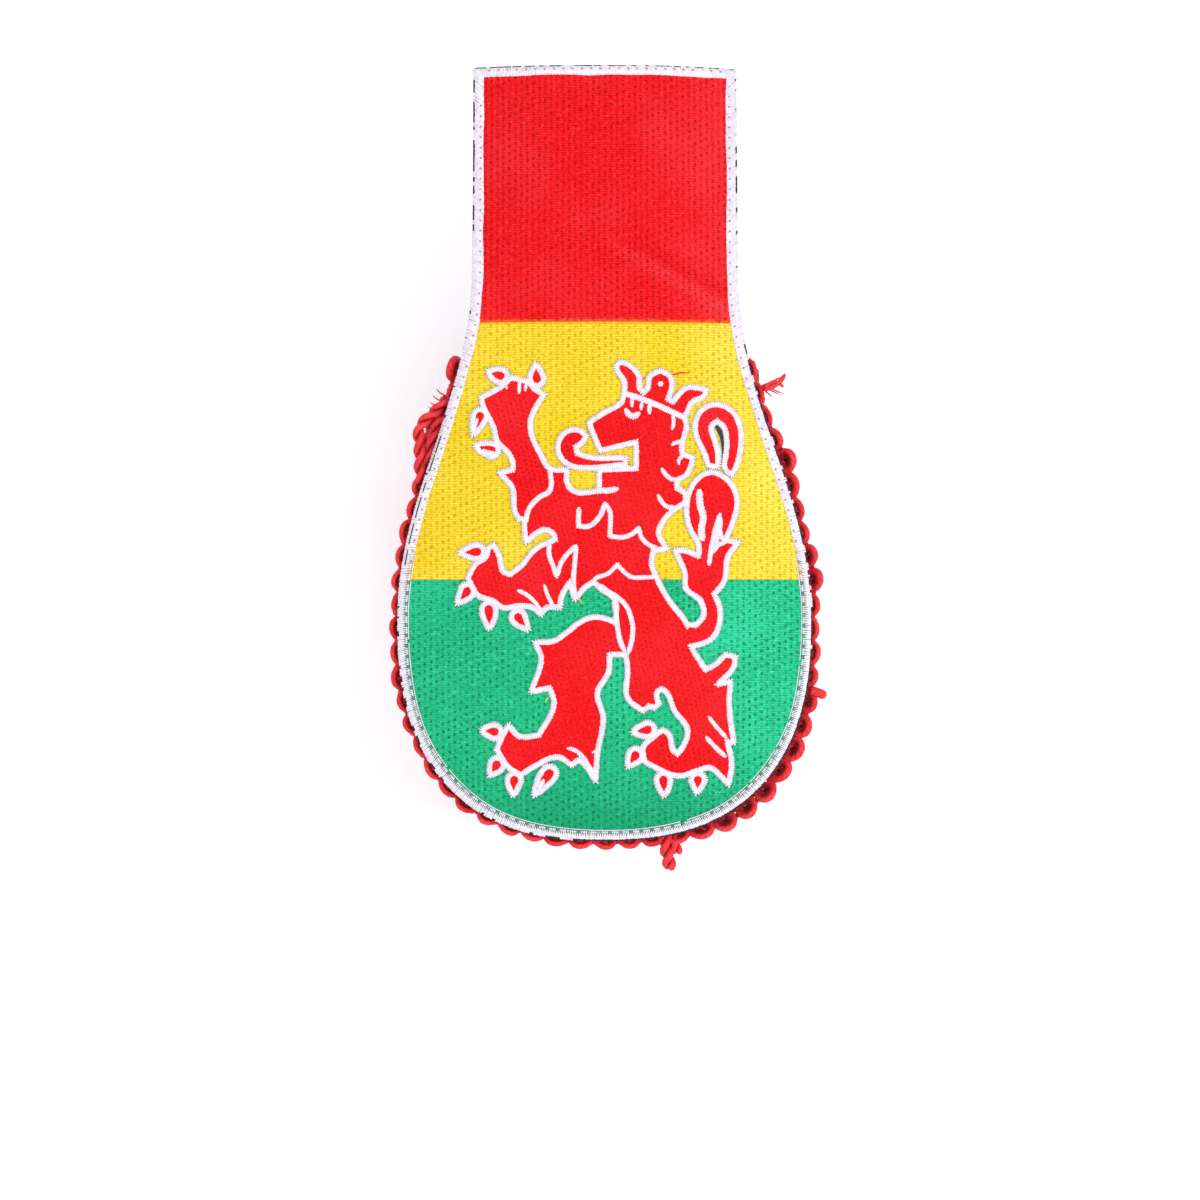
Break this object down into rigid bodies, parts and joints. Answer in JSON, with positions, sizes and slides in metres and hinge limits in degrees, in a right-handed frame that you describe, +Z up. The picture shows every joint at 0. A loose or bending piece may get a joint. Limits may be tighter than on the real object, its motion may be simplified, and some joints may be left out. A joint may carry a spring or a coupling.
{
  "type": "fringed epaulette",
  "caption": "Shoulder board with a straight strap and a rounded domed pad, embroidered face, sewn edging and a curtain of twisted cord fringe under the rim.",
  "frame": {"origin": "underside of the backing at the pad's crown line, on the pad's widest line, where it sits on a shoulder", "axes": "+Y along the strap towards its cut end, -Y towards the rounded fringed end, +Z up out of the embroidered face, +X to the right when the face is looked at with the strap at the top"},
  "size_m": [0.114, 0.2044, 0.0802],
  "materials": {
    "backing_cloth": "dense felted cloth",
    "red_thread": "satin fill embroidery",
    "yellow_thread": "satin fill embroidery",
    "green_thread": "satin fill embroidery",
    "white_thread": "satin stitch",
    "crimson_cord": "twisted silky cord"
  },
  "bodies": {
    "root": {"backing": "backing_cloth", "field_red": "red_thread", "field_yellow": "yellow_thread", "field_green": "green_thread", "edging": "white_thread", "lion": "red_thread", "fringe": "crimson_cord"}
  },
  "joints": []
}
